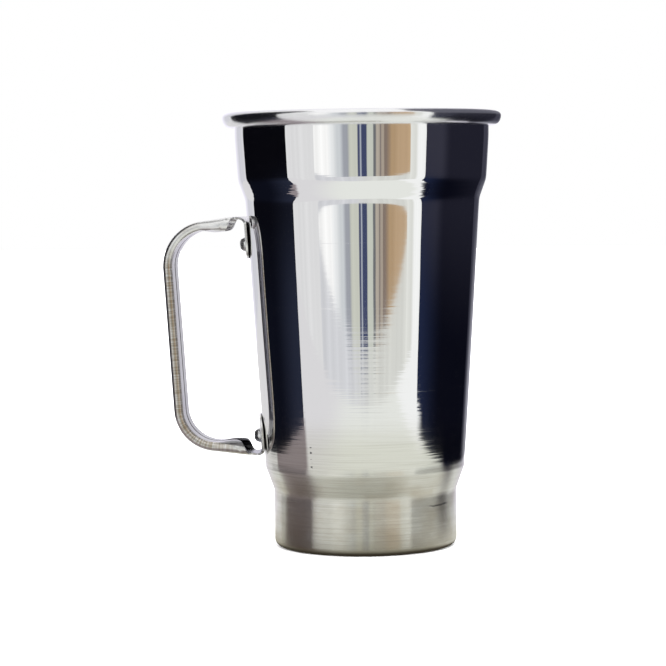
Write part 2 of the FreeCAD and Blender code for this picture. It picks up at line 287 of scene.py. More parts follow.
def strip_path():
    """Points along the handle strip's outer face, from the tip of the upper tab to that of the lower."""
    tips = (UPPER - TAB_LENGTH, LOWER + TAB_LENGTH)
    upper_wall, lower_wall = wall_radius(UPPER), wall_radius(LOWER)
    corners = [
        (-(wall_radius(tips[0]) + TAB_GAP), tips[0], 0.0),
        (-(upper_wall + TAB_GAP), UPPER, BEND),
        (-(upper_wall + ARM_START + ARM_LEVEL), UPPER, ARM_ROUND),
        (-UPPER_REACH, UPPER - UPPER_DROP, UPPER_ROUND),
        (-LOWER_REACH, LOWER + LOWER_RISE, LOWER_ROUND),
        (-(lower_wall + ARM_START + ARM_LEVEL), LOWER, ARM_ROUND),
        (-(lower_wall + TAB_GAP), LOWER, BEND),
        (-(wall_radius(tips[1]) + TAB_GAP), tips[1], 0.0),
    ]
    return rounded(corners, PATH_STEP)


def path_length(points):
    """Length of a polyline."""
    return sum((after - before).length for before, after in zip(points, points[1:]))


def resampled(points, spacing):
    """(point, direction, way along) rows along a polyline, at the distances that spacing allows."""
    lengths = [0.0]
    for before, after in zip(points, points[1:]):
        lengths.append(lengths[-1] + (after - before).length)
    total = lengths[-1]
    way, number, rows = 0.0, 0, []
    while way < total:
        while lengths[number + 1] < way:
            number += 1
        span = lengths[number + 1] - lengths[number]
        place = points[number].lerp(points[number + 1], (way - lengths[number]) / span)
        rows.append((place, (points[number + 1] - points[number]).normalized(), way))
        way += spacing(min(way, total - way))
    rows.append((points[-1], (points[-1] - points[-2]).normalized(), total))
    return rows


def ease(value, low, high):
    """0 below low, 1 above high, smooth between."""
    share = min(1.0, max(0.0, (value - low) / (high - low)))
    return share * share * (3 - 2 * share)


# Along the strip from its nearer end: where the tab's flat part ends, and where the neck next to it ends.
TAB_END = TAB_LENGTH - BEND
NECK = TAB_END + BEND * math.pi / 2 + ARM_START - BEND
STRIP_LENGTH = path_length(strip_path())

# Across the strip from its centre line: the flat web, the half turn of the roll, and the lip turned in.
WEB_HALF = GRIP_WIDTH / 2 - GRIP_EDGE
ROLL = GRIP_EDGE - STRIP / 2
ROLL_WIDTH = math.pi * ROLL
BLANK_HALF = WEB_HALF + ROLL_WIDTH + LIP


def half_width(from_end):
    """Half of the strip's developed width at a distance from its nearer end."""
    if from_end < TAB_CORNER:
        return TAB_WIDTH / 2 - TAB_CORNER + math.sqrt(TAB_CORNER ** 2 - (TAB_CORNER - from_end) ** 2)
    if from_end < NECK:
        return TAB_WIDTH / 2 + (WEB_HALF - TAB_WIDTH / 2) * ease(from_end, TAB_END, NECK)
    share = min(1.0, (from_end - NECK) / LIP_CUT)
    return WEB_HALF + (BLANK_HALF - WEB_HALF) * share


def rolled(across, roll):
    """(sideways, depth) of the strip's middle at a developed distance from the centre line."""
    side, distance = math.copysign(1.0, across), abs(across)
    if distance <= WEB_HALF:
        return across, 0.0
    angle = (distance - WEB_HALF) / roll
    if angle <= math.pi:
        return side * (WEB_HALF + roll * math.sin(angle)), roll * (1 - math.cos(angle))
    return side * (WEB_HALF - (distance - WEB_HALF - math.pi * roll)), 2 * roll


def columns():
    """Shares of the half width at which the strip has points: few on flats, many on the rolled edges."""
    web, edge = WEB_HALF / BLANK_HALF, ROLL_WIDTH / BLANK_HALF
    half = [web * step / WEB_STEPS for step in range(WEB_STEPS + 1)]
    half += [web + edge * step / ROLL_STEPS for step in range(1, ROLL_STEPS + 1)]
    half += [web + edge + (1 - web - edge) * step / LIP_STEPS for step in range(1, LIP_STEPS + 1)]
    return [-share for share in reversed(half[1:])] + half


def strip_row(place, direction, way, shares):
    """Points of one row across the strip, and the (way along, distance across) of each."""
    from_end = min(way, STRIP_LENGTH - way)
    half = half_width(from_end)
    curve = UPPER_TAB_CURVE if way < STRIP_LENGTH / 2 else LOWER_TAB_CURVE
    lift = 1 - ease(from_end, TAB_END, NECK)
    roll = ROLL + FLARE * (1 - ease(from_end, NECK + LIP_CUT, NECK + LIP_CUT + FLARE_LENGTH))
    inwards = Vector((-direction.y, direction.x))
    points, coordinates = [], []
    for share in shares:
        across = half * share
        if from_end < NECK:
            side = curve * math.sin(across / curve)
            towards_wall = curve * (1 - math.cos(across / curve)) * lift
            spot = place + inwards * STRIP / 2 + Vector((towards_wall, 0))
        else:
            side, depth = rolled(across, roll)
            spot = place + inwards * (STRIP / 2 + depth)
        points.append((spot.x, side, spot.y))
        coordinates.append((way, across))
    return points, coordinates


def finish_sheet(piece):
    """Gives the strip its thickness, with its own material on the back, and breaks its cut edges."""
    thicken = piece.modifiers.new("sheet", "SOLIDIFY")
    thicken.thickness = STRIP
    thicken.offset = 0.0
    thicken.material_offset = 1
    thicken.use_even_offset = True
    soften = piece.modifiers.new("edges", "BEVEL")
    soften.width = EDGE_BREAK
    soften.segments = 2
    soften.limit_method = "ANGLE"
    soften.angle_limit = math.radians(60)
    normals = piece.modifiers.new("normals", "WEIGHTED_NORMAL")
    normals.keep_sharp = True


def make_handle():
    """One strip: rolled to a C along the grip and arms, lips cut slantwise, ends bent in as curved tabs."""
    rows = resampled(strip_path(), lambda from_end: FINE_ROW if from_end < FINE_LENGTH else COARSE_ROW)
    shares = columns()
    vertices, coordinates = [], []
    for place, direction, way in rows:
        row_points, row_coordinates = strip_row(place, direction, way, shares)
        vertices += row_points
        coordinates += row_coordinates
    wide = len(shares)
    faces = []
    for row in range(len(rows) - 1):
        for column in range(wide - 1):
            corner = row * wide + column
            faces.append((corner, corner + 1, corner + wide + 1, corner + wide))
    piece = new_piece("handle_strip", vertices, faces, "handle")
    layer = piece.data.uv_layers.new(name="strip")
    for loop in piece.data.loops:
        layer.data[loop.index].uv = coordinates[loop.vertex_index]
    finish_sheet(piece)
    return piece


def make_rivet(name, node, level, dents):
    """Smooth head inside, shank, and the head closed over the tab; dents is its own place in the noise."""
    inside = SHEET + HEAD_GAP
    outside = STRIP + TAB_GAP
    corners = [(radius, -(inside + height), rounding) for radius, height, rounding in SMOOTH_HEAD]
    corners += [(SHANK_RADIUS, -inside, SHANK_ROUND), (SHANK_RADIUS, outside, SHANK_ROUND)]
    corners += [(radius, outside + height, rounding) for radius, height, rounding in CLOSED_HEAD]
    vertices, faces = lathe(rounded(corners, RIVET_STEP), RIVET_SEGMENTS)
    lean = math.atan(WALL_LEAN)
    outwards = Vector((-math.cos(lean), 0.0, -math.sin(lean)))
    sideways = Vector((0.0, 1.0, 0.0))
    upwards = sideways.cross(outwards)
    base = Vector((-wall_radius(level), 0.0, level))
    placed = []
    for vertex in vertices:
        spot = Vector(vertex)
        share = ease(spot.z, outside, outside + DENTS_START)
        wobble = noise.noise(spot * SIDE_DENTS + Vector((dents, 0, 0))) * SIDE_DENT * share
        flat = spot.xy + spot.xy.normalized() * wobble
        out = spot.z + noise.noise(spot * TOP_DENTS + Vector((0, dents, 0))) * TOP_DENT * share
        placed.append(base + sideways * flat.x + upwards * flat.y + outwards * out)
    return new_piece(name, placed, faces, node)


cup = make_cup()
handle = make_handle()
upper_rivet = make_rivet("rivet_upper", "upper_rivet", UPPER_RIVET, 3.0)
lower_rivet = make_rivet("rivet_lower", "lower_rivet", LOWER_RIVET, 11.0)


# ---------------------------------------------------------------- shader helpers

def make(tree, kind, inputs=None, output=0, **settings):
    """Adds a shader node and returns one output; an input is a plain value or another node's output."""
    node = tree.nodes.new(f"ShaderNode{kind}")
    for key, setting in settings.items():
        setattr(node, key, setting)
    for key, value in (inputs or {}).items():
        if isinstance(value, bpy.types.NodeSocket):
            tree.links.new(value, node.inputs[key])
        else:
            node.inputs[key].default_value = value
    return node.outputs[output]


def maths(tree, operation, *values):
    """A Math node."""
    return make(tree, "Math", dict(enumerate(values)), operation=operation)


def times(tree, first, *others):
    """Product of values."""
    for other in others:
        first = maths(tree, "MULTIPLY", first, other)
    return first


def smooth(tree, value, low, high):
    """0 at low, 1 at high, smooth between; low may be the greater."""
    inputs = {"Value": value, "From Min": low, "From Max": high}
    return make(tree, "MapRange", inputs, interpolation_type="SMOOTHSTEP")


def between(tree, value, start, finish, soft):
    """1 between two limits, 0 outside, each limit softened over a width."""
    rise = smooth(tree, value, start - soft / 2, start + soft / 2)
    fall = smooth(tree, value, finish + soft / 2, finish - soft / 2)
    return times(tree, rise, fall)


def mixed(tree, share, first, second):
    """Value mixed from first to second."""
    return make(tree, "Mix", {0: share, 2: first, 3: second})


def blend(tree, share, first, second):
    """Colour mixed from first to second."""
    return make(tree, "Mix", {0: share, 6: first, 7: second}, output=2, data_type="RGBA")


def linear(level):
    """Display level from 0 to 1 as linear light."""
    return level / 12.92 if level <= 0.04045 else ((level + 0.055) / 1.055) ** 2.4


def stretched_noise(tree, scale, around, up, detail=4.0, offset=0.0):
    """Noise over the object, with its own scales round the cup and up it."""
    place = make(tree, "TexCoord", output="Object")
    scales = (around, around, up)
    mapped = make(tree, "Mapping", {"Vector": place, "Location": (offset, 0, 0), "Scale": scales})
    return make(tree, "TexNoise", {"Vector": mapped, "Scale": scale, "Detail": detail})


def patches(tree, grain, limits):
    """Soft patches of stretched noise of a grain: 0 to 1 between two values of the noise."""
    return smooth(tree, stretched_noise(tree, *grain), *limits)


# ---------------------------------------------------------------- studio

CAMERA_TURN = 7.0  # degrees round the cup from straight in front, to the right
CAMERA_DISTANCE = 0.955
CAMERA_HEIGHT = 0.146
CAMERA_ROLL = 0.65
FIELD_OF_VIEW = 15.8
AIM_LEFT = 0.01225
AIM_HEIGHT = 0.0846


def camera_axes():
    """Level unit vectors from the cup towards the camera and to the camera's right."""
    turn = math.radians(CAMERA_TURN)
    return Vector((math.sin(turn), -math.cos(turn), 0)), Vector((math.cos(turn), math.sin(turn), 0))


def make_camera():
    """Camera a little above the rim, aimed left of the axis so that the handle fits in."""
    towards, right = camera_axes()
    data = bpy.data.cameras.new("camera")
    data.angle = math.radians(FIELD_OF_VIEW)
    camera = bpy.data.objects.new("camera", data)
    bpy.context.collection.objects.link(camera)
    camera.location = towards * CAMERA_DISTANCE + Vector((0, 0, CAMERA_HEIGHT))
    aim = -right * AIM_LEFT + Vector((0, 0, AIM_HEIGHT))
    facing = (aim - camera.location).to_track_quat("-Z", "Y")
    camera.rotation_euler = (facing @ Quaternion((0, 0, 1), math.radians(-CAMERA_ROLL))).to_euler()
    bpy.context.scene.camera = camera


METAL = 0.93  # share of the light that polished aluminium throws back


def seen(red, green, blue):
    """Linear colour of a thing that shows as red, green and blue from 0 to 255 in polished aluminium."""
    return tuple(linear(level / 255) / METAL for level in (red, green, blue)) + (1.0,)


# What the middle of the wall reflects, from left to right: degrees to the right of the camera where each
# upright strip of the room ends, its colour, and the degrees over which it turns into its neighbours.
ROOM_LEFT = -44
ROOM_STRIPS = (
    ("window", -30, seen(248, 248, 246), 1.0),
    ("curtain", -24, seen(228, 230, 230), 2.0),
    ("curtain_shade", -18, seen(200, 204, 206), 2.0),
    ("curtain_fold", -11.5, seen(156, 159, 166), 1.5),
    ("pale_wall", -3.7, seen(196, 198, 186), 0.4),
    ("door_frame", -1.8, seen(70, 76, 104), 0.3),
    ("frame_edge", -0.4, seen(166, 172, 182), 0.3),
    ("doorway", 4.4, seen(64, 72, 102), 0.3),
    ("pale_post", 10.2, seen(192, 196, 185), 0.4),
    ("post_shade", 12.6, seen(104, 106, 108), 0.4),
    ("shelf", 16, seen(172, 163, 150), 0.4),
    ("shelf_gap", 17.2, seen(128, 119, 114), 0.3),
    ("shelf_side", 20, seen(168, 156, 142), 0.4),
    ("cupboard_edge", 22.6, seen(128, 114, 104), 0.4),
    ("wood_panel", 33, seen(170, 144, 112), 4.0),
    ("wood_door", 44.5, seen(184, 157, 125), 0.5),
)
ROOM_RIGHT = ROOM_STRIPS[-1][1]
ROOM_SILL = -11.4  # degrees: the room's lowest point, straight ahead
ROOM_SILL_RISE = 3.0  # degrees that it is higher at the spread to either side
ROOM_SILL_SPREAD = 40.0
ROOM_TOP, ROOM_TOP_SOFT = 30, 5
ROOM_SIDE_SOFT, ROOM_SILL_SOFT = 0.8, 0.15
SKIRTING_TURN = 15
SKIRTING_LEFT, SKIRTING_RIGHT = seen(207, 208, 211), seen(210, 211, 205)
FOLD_SCALE, FOLD_DEPTH, FOLD_LEAST = 0.13, 0.5, 0.75  # slow changes of brightness round the room

# The white paper all round, from its colour in front on the left: (degrees where the next colour starts,
# degrees where it is full, colour), laid one over another.
PAPER = seen(218, 218, 218)
PAPER_TURNS = (
    (-20, 45, seen(222, 223, 217)),
    (50, 53, seen(241, 242, 240)),
    (110, 140, seen(240, 238, 246)),
    (-125, -150, seen(205, 205, 212)),
    (-152, -168, seen(236, 233, 244)),
)
CEILING = seen(246, 246, 246)
CEILING_RISE = (20, 50)  # degrees above level between which the paper turns into the ceiling
FLOOR_LIGHT = 3.0  # strength of the white light on what isn't polished


def room_colours(tree, azimuth):
    """The strips of the room as one ramp over azimuth."""
    share = make(tree, "MapRange", {"Value": azimuth, "From Min": ROOM_LEFT, "From Max": ROOM_RIGHT})
    ramp = tree.nodes.new("ShaderNodeValToRGB")
    tree.links.new(share, ramp.inputs["Fac"])
    stops = ramp.color_ramp.elements
    start, number = ROOM_LEFT, 0
    for _, finish, colour, soft in ROOM_STRIPS:
        for edge in (start + soft, finish - soft):
            place = (edge - ROOM_LEFT) / (ROOM_RIGHT - ROOM_LEFT)
            stop = stops[number] if number < 2 else stops.new(place)
            stop.position = place
            stop.color = colour
            number += 1
        start = finish
    return ramp.outputs["Color"]


def room_and_paper(tree, azimuth, elevation):
    """What polished metal sees round the cup: paper, and in front of the camera the room above its sill."""
    paper = PAPER
    for start, finish, colour in PAPER_TURNS:
        paper = blend(tree, smooth(tree, azimuth, start, finish), paper, colour)
    paper = blend(tree, smooth(tree, elevation, *CEILING_RISE), paper, CEILING)

    spread = maths(tree, "DIVIDE", azimuth, ROOM_SILL_SPREAD)
    sill = maths(tree, "MULTIPLY_ADD", times(tree, spread, spread), ROOM_SILL_RISE, ROOM_SILL)
    above = maths(tree, "SUBTRACT", elevation, sill)
    rightwards = smooth(tree, azimuth, -SKIRTING_TURN, SKIRTING_TURN)
    skirting = blend(tree, rightwards, SKIRTING_LEFT, SKIRTING_RIGHT)
    over_sill = smooth(tree, above, -ROOM_SILL_SOFT, ROOM_SILL_SOFT)
    room = blend(tree, over_sill, skirting, room_colours(tree, azimuth))
    inside = times(tree, between(tree, azimuth, ROOM_LEFT, ROOM_RIGHT, ROOM_SIDE_SOFT),
                   smooth(tree, elevation, ROOM_TOP + ROOM_TOP_SOFT, ROOM_TOP))
    colour = blend(tree, inside, paper, room)

    place = make(tree, "CombineXYZ", {"X": azimuth})
    folds = make(tree, "TexNoise", {"Vector": place, "Scale": FOLD_SCALE, "Detail": 3.0})
    folded = maths(tree, "MULTIPLY_ADD", folds, FOLD_DEPTH, FOLD_LEAST)
    return make(tree, "VectorMath", {0: colour, "Scale": folded}, operation="SCALE")


def make_world():
    """Studio that polished metal reflects; plain white to the camera and soft white light on the floor."""
    world = bpy.data.worlds.new("studio")
    world.use_nodes = True
    tree = world.node_tree
    tree.nodes.clear()
    direction = make(tree, "TexCoord", output="Generated")
    turned = make(tree, "VectorRotate", {"Vector": direction, "Angle": math.radians(-CAMERA_TURN)},
                  rotation_type="Z_AXIS")
    parts = tree.nodes.new("ShaderNodeSeparateXYZ")
    tree.links.new(turned, parts.inputs[0])
    towards = times(tree, parts.outputs["Y"], -1.0)
    azimuth = maths(tree, "DEGREES", maths(tree, "ARCTAN2", parts.outputs["X"], towards))
    elevation = maths(tree, "DEGREES", maths(tree, "ARCSINE", parts.outputs["Z"]))

    rays = tree.nodes.new("ShaderNodeLightPath")
    reflected = room_and_paper(tree, azimuth, elevation)
    shown = blend(tree, rays.outputs["Is Glossy Ray"], (1, 1, 1, 1), reflected)
    lit = blend(tree, rays.outputs["Is Diffuse Ray"], shown, (FLOOR_LIGHT, FLOOR_LIGHT, FLOOR_LIGHT, 1))
    background = make(tree, "Background", {"Color": lit})
    output = tree.nodes.new("ShaderNodeOutputWorld")
    tree.links.new(background, output.inputs["Surface"])
    bpy.context.scene.world = world
    bpy.context.scene.view_settings.view_transform = "Standard"


# Things near the cup, placed in metres to the right and towards the camera. First the dark boards that
# stand on the table: front and back ends, (front, back) colours low down, higher up and at the top, and the
# share of the way back at which the higher colours change.
BOARDS = (
    ("left_board", ((-0.254, 0.112), (-0.254, -0.193)), (seen(36, 40, 55), seen(12, 14, 24)),
     (seen(7, 7, 12), seen(7, 7, 12)), (seen(18, 18, 26), seen(18, 18, 26)), 0.5),
    ("right_board", ((0.269, 0.183), (0.158, -0.144)), (seen(30, 37, 61), seen(9, 10, 20)),
     (seen(51, 51, 63), seen(31, 31, 42)), (seen(92, 92, 102), seen(92, 92, 102)), 0.36),
    ("back_screen", ((0.158, -0.144), (0.095, -0.330)), (seen(40, 40, 52), seen(150, 150, 160)),
     (seen(60, 60, 72), seen(100, 100, 110)), (seen(100, 100, 110), seen(120, 120, 130)), 0.5),
)
BOARD_HEIGHT = 0.75
BOARD_LOW_CHANGE = (0.0, 0.5)  # shares of the way back between which the low colours change
BOARD_TURN_SOFT = 0.08
BOARD_MIDDLE = (0.05, 0.14)  # heights between which the low colours pass into the higher ones
BOARD_TOP = (0.17, 0.22)  # and the higher ones into those of the top

# Then a white sheet on the table, with its left, right, back and front edges. A ramp over it is (slope to
# the right, slope towards the camera, start, finish): it goes from 0 to 1 as the place times the slopes
# goes from start to finish. Tints, a painted glare and painted shadows are laid one over another, each
# where all the ramps of one of its regions are 1.
SHEET_SPAN = (-0.9, 0.9, -0.9, 0.300)
SHEET_WHITE = seen(226, 228, 222)
HANDLE_SIDE = ((0.364, 1, 0.036, 0.018), (-0.577, 1, 0.026, 0.044))  # a wedge from the cup past the handle
SHEET_TINTS_GLARE_AND_SHADOWS = (
    ("lavender_back", seen(232, 229, 240), ((0, 1, 0.0, -0.15),)),
    ("grey_left", seen(215, 214, 215), ((1, 0, -0.05, -0.20),)),
    ("front_glare", seen(239, 240, 238), ((1, 0, 0.17, 0.20), (0, 1, 0.08, 0.12))),
    # painted shadows: the handle's to the left, each board's along its foot, and painted shade behind the
    # cup on the right
    ("handle_painted_shadow", seen(142, 133, 136), HANDLE_SIDE + ((1, 0, -0.27, -0.25), (1, 0, -0.05, -0.07))),
    ("left_board_painted_shadow", seen(17, 18, 26), ((1, 0.24, -0.233, -0.249), (0, 1, 0.040, 0.010),
                                            (0, 1, -0.20, -0.16))),
    ("right_painted_shade", seen(104, 100, 108), ((1, 0, 0.06, 0.08), (1, 0, 0.26, 0.24), (0, 1, 0.020, -0.020),
                                          (0.35, 1, -0.020, 0.030))),
    ("right_board_painted_shadow", seen(18, 22, 40),
     ((1, -0.10, 0.193, 0.206), (0, 1, -0.16, -0.12), (0, 1, 0.16, 0.12)),
     ((1, 0, 0.150, 0.165), (0, 1, 0.0, -0.02), (0, 1, -0.16, -0.12), (0, 1, 0.16, 0.12))),
)

# Close round the foot the sheet takes a painted shadow of the cup, darkest on the handle's side and lightest
# on the right, and next to the foot a thin dark ring of painted contact shadow.
NEAR_SHADOW_COLOUR = seen(178, 174, 160)
NEAR_SHADOW_SIDES = (
    ("front", seen(142, 140, 126), ((1, 0, -0.05, -0.02),)),
    ("handle", seen(92, 82, 76), HANDLE_SIDE),
    ("right", seen(220, 219, 210), ((1, 0, 0.02, 0.05),)),
)
NEAR_EDGE = (0.078, 0.060)  # distances from the axis
FOOT_RING = (0.0376, 0.0366)
FOOT_RING_SHADOW = seen(96, 91, 80)


def reflected_only(name, corners, coordinates, colour):
    """A glowing panel that only polished metal sees; colour takes the node tree, across and along."""
    mesh = bpy.data.meshes.new(name)
    mesh.from_pydata(corners, [], [(0, 1, 2, 3)])
    panel = bpy.data.objects.new(name, mesh)
    bpy.context.collection.objects.link(panel)
    panel.visible_camera = panel.visible_diffuse = panel.visible_shadow = False
    layer = mesh.uv_layers.new(name="place")
    for loop, spot in zip(mesh.loops, coordinates):
        layer.data[loop.index].uv = spot
    material = bpy.data.materials.new(name)
    material.use_nodes = True
    tree = material.node_tree
    tree.nodes.clear()
    place = tree.nodes.new("ShaderNodeUVMap")
    parts = tree.nodes.new("ShaderNodeSeparateXYZ")
    tree.links.new(place.outputs["UV"], parts.inputs[0])
    light = make(tree, "Emission", {"Color": colour(tree, parts.outputs["X"], parts.outputs["Y"])})
    output = tree.nodes.new("ShaderNodeOutputMaterial")
    tree.links.new(light, output.inputs["Surface"])
    mesh.materials.append(material)


def make_board(name, ends, low, high, top, turn):
    """A dark board that stands on the table, coloured by the way back along it and by height."""
    towards, right = camera_axes()
    near, far = [right * across + towards * ahead for across, ahead in ends]
    up = Vector((0, 0, BOARD_HEIGHT))

    def colour(tree, along, height):
        lower = blend(tree, smooth(tree, along, *BOARD_LOW_CHANGE), *low)
        upper = blend(tree, smooth(tree, along, turn - BOARD_TURN_SOFT, turn + BOARD_TURN_SOFT), *high)
        board = blend(tree, smooth(tree, height, *BOARD_MIDDLE), lower, upper)
        return blend(tree, smooth(tree, height, *BOARD_TOP), board, blend(tree, along, *top))

    coordinates = ((0, 0), (1, 0), (1, BOARD_HEIGHT), (0, BOARD_HEIGHT))
    reflected_only(name, (near, far, far + up, near + up), coordinates, colour)


def region(tree, across, ahead, ramps):
    """1 where all the ramps over the sheet are 1."""
    masks = []
    for slope_across, slope_ahead, start, finish in ramps:
        place = maths(tree, "MULTIPLY_ADD", across, slope_across, times(tree, ahead, slope_ahead))
        masks.append(smooth(tree, place, start, finish))
    return times(tree, *masks)


def shaded(tree, across, ahead, ground, shades):
    """Ground colour with (name, colour, regions) shades laid over it, each where one of its regions is 1."""
    for _, colour, *regions in shades:
        masks = [region(tree, across, ahead, ramps) for ramps in regions]
        mask = masks[0]
        for other in masks[1:]:
            mask = maths(tree, "MAXIMUM", mask, other)
        ground = blend(tree, mask, ground, colour)
    return ground


def make_sheet():
    """White sheet under the cup, with painted shadows of the boards and the handle, and painted shadow rings
    round the foot.
    """
    towards, right = camera_axes()
    low, high, back, front = SHEET_SPAN
    coordinates = ((low, back), (high, back), (high, front), (low, front))
    corners = [right * across + towards * ahead for across, ahead in coordinates]

    def colour(tree, across, ahead):
        sheet = shaded(tree, across, ahead, SHEET_WHITE, SHEET_TINTS_GLARE_AND_SHADOWS)
        near = shaded(tree, across, ahead, NEAR_SHADOW_COLOUR, NEAR_SHADOW_SIDES)
        squares = maths(tree, "ADD", times(tree, across, across), times(tree, ahead, ahead))
        distance = maths(tree, "SQRT", squares)
        # painted shadow of the cup round the foot, then a thin ring of painted contact shadow
        sheet = blend(tree, smooth(tree, distance, *NEAR_EDGE), sheet, near)
        return blend(tree, smooth(tree, distance, *FOOT_RING), sheet, FOOT_RING_SHADOW)

    reflected_only("white_sheet", corners, coordinates, colour)


FLOOR_HALF = 4.0
FLOOR_PAINT, FLOOR_ROUGHNESS = (0.9, 0.9, 0.9, 1), 0.9


def make_floor():
    """Large pale floor under the cup, left out of the cup's reflections."""
    half = FLOOR_HALF
    mesh = bpy.data.meshes.new("floor")
    corners = [(-half, -half, 0), (half, -half, 0), (half, half, 0), (-half, half, 0)]
    mesh.from_pydata(corners, [], [(0, 1, 2, 3)])
    floor = bpy.data.objects.new("floor", mesh)
    bpy.context.collection.objects.link(floor)
    floor.visible_glossy = False
    material = bpy.data.materials.new("floor_paint")
    material.use_nodes = True
    shader = material.node_tree.nodes["Principled BSDF"]
    shader.inputs["Base Color"].default_value = FLOOR_PAINT
    shader.inputs["Roughness"].default_value = FLOOR_ROUGHNESS
    mesh.materials.append(material)


# ---------------------------------------------------------------- materials

# The cup's finishes. Each pair of heights is where a finish starts and where it is full; each roughness is
# (how much the grain adds, the least). A grain is the scale of the noise, its scales round the cup and up
# it, its detail and its offset; patches are the noise's values where they start and where they are full.
ANISOTROPY, ANISOTROPY_TURN = 1.0, 0.25
BRIGHT, YELLOWED = (0.93, 0.93, 0.94, 1), (0.80, 0.795, 0.745, 1)
BRUSHED_HEIGHTS, BRUSHED_GRAIN, BRUSHED_DEPTH = (0.056, 0.040), (1.0, 20, 1500, 3.0), (0.9, 0.55)
DIRT, DIRT_HEIGHTS = (0.66, 0.62, 0.54, 1), (0.036, 0.024)
DIRT_GRAIN, DIRT_PATCHES = (60, 1, 1.6, 6.0), (0.35, 0.75)
STREAK, STREAK_HEIGHTS, STREAK_STRENGTH = (0.50, 0.47, 0.42, 1), (0.062, 0.030), 0.30
STREAK_GRAIN, STREAK_PATCHES = (1.0, 30, 1700, 5.0, 3.0), (0.42, 0.70)
# Painted contact shade: the lowest two millimetres of the foot are darkened where it meets the floor.
PAINTED_CONTACT_SHADE, PAINTED_CONTACT_SHADE_HEIGHTS = (0.22, 0.20, 0.16, 1), (0.0022, 0.0006)
MARK, MARK_STRENGTH = (0.06, 0.06, 0.07, 1), 0.85
MIRROR_ROUGHNESS, WALL_ROUGHNESS = (0.02, 0.02), (0.03, 0.03)
BEAD_ROUGHNESS, FOOT_ROUGHNESS = (0.08, 0.16), (0.10, 0.20)
SATIN_GRAIN = (1.0, 3, 1800, 3.0)
MIRROR_HEIGHTS = (0.085, 0.045)
BEAD_HEIGHTS = (HEIGHT - 7 * MM, HEIGHT - 5 * MM)
FOOT_HEIGHTS = (0.036, 0.031)

# Faint single lines scribed round the wall, slow waves of the spun wall, and fine turned lines, deeper low
# on the wall and on the step.
SCRIBES = (0.0640, 0.0965, 0.1215)
SCRIBE_HALF = 0.00016
SCRIBE_ROUGHNESS = 0.07
SCRIBE_GRAIN, SCRIBE_PATCHES = (1.0, 25, 200, 2.0), (0.45, 0.60)
WAVE_GRAIN, WAVE_DEPTH, WAVE_STRENGTH = (1.0, 90, 22, 1.5), 0.00007, 0.6
TURNED_GRAIN, TURNED_DEPTH = (1.0, 22, 800, 2.0), 0.00006
TURNED_HEIGHTS = (0.110, 0.060)
TURNED_LEAST, TURNED_LOW, TURNED_STEP = 0.03, 0.27, 0.6
TURNED_STEP_SPAN = (STEP_FOOT - 1 * MM, STEP_HEAD + 2 * MM, 2 * MM)

# A scratch that wanders across the right of the foot, and a column of nicks: (from, to, softness) in
# degrees round the cup and in metres of height.
SCRATCH_GRAIN, SCRATCH_WANDER, SCRATCH_HEIGHT = (1.0, 300, 30, 3.0), 0.0022, 0.0172
SCRATCH_EDGE = (0.00035, 0.0001)
SCRATCH_TURN = (51.0, 68.0, 5.0)
NICKS_TURN = (-24.8, -23.6, 0.5)
NICKS_HEIGHT = (0.034, 0.043, 0.001)
NICKS_GRAIN, NICKS_PATCHES = (1.0, 300, 900, 1.0), (0.54, 0.60)

# The handle's colours and noises. Spans along the strip, and the rolled part across it, are (from, to,
# softness); pairs across it are where something starts and is full; ticks are the noise's scales along and
# across the strip and its detail.
SILVER, STAINED, WORN = (0.90, 0.90, 0.89, 1), (0.74, 0.72, 0.69, 1), (0.46, 0.40, 0.31, 1)
# Painted shade on the grip's lips, in the slot of the roll that faces the cup: near black at their roots,
# dark grey beyond.
LIP_ROOT_PAINTED_SHADE, LIP_PAINTED_SHADE = (0.05, 0.045, 0.045, 1), (0.16, 0.16, 0.18, 1)
BACK, BACK_MOTTLE = (0.80, 0.79, 0.81, 1), (0.66, 0.65, 0.66, 1)
# Painted shade on the strip's back: darker along the grip, and near black inside the roll of its lower half.
BACK_GRIP_SHADE, BACK_ROLL_SHADE = (0.42, 0.42, 0.46, 1), (0.03, 0.03, 0.03, 1)
WORN_SPAN = (0.055, 0.150, 0.02)
GRIP_SPAN = (0.040, 0.165, 0.01)
GLAZE_IOR, GLAZE_ROUGHNESS = 2.0, 0.05
ROLLED_SPAN = (WEB_HALF + 0.35 * ROLL_WIDTH, WEB_HALF + 1.1 * ROLL_WIDTH, 1.8 * MM)
LIP_START = (WEB_HALF + 0.9 * ROLL_WIDTH, WEB_HALF + ROLL_WIDTH)
LIP_DEPTH = (WEB_HALF + ROLL_WIDTH + 0.6 * MM, WEB_HALF + ROLL_WIDTH + 1.4 * MM)
INSIDE_ROLL = (WEB_HALF - 2.5 * MM, WEB_HALF)
LOWER_SPAN = (STRIP_LENGTH / 2, STRIP_LENGTH - NECK, 2 * MM)
STAIN_GRAIN, STAIN_PATCHES = (120, 1, 1), (0.50, 0.70)
WORN_TICKS, WORN_PATCHES = (1500.0, 90.0, 3.0), (0.20, 0.66)
STRIP_GRAIN, STRIP_ROUGHNESS = (300, 1, 1), (0.15, 0.23)
ROLL_TICKS, TICK_DEPTH = (700.0, 120.0, 2.0), 0.00006
MOTTLE_GRAIN, MOTTLE_PATCHES = (200, 1, 1), (0.35, 0.65)

# The rivets, whose roughness and dents the strip's back shares.
RIVET_BRIGHT, RIVET_DULL = (0.80, 0.81, 0.81, 1), (0.55, 0.55, 0.55, 1)
RIVET_GRAIN, RIVET_PATCHES = (700, 1, 1), (0.35, 0.65)
DULL_GRAIN, DULL_ROUGHNESS = (500, 1, 1), (0.2, 0.15)
DENT_GRAIN, DENT_DEPTH = (600, 1, 1, 2.0), 0.0003
BUMP_STRENGTH = 0.5


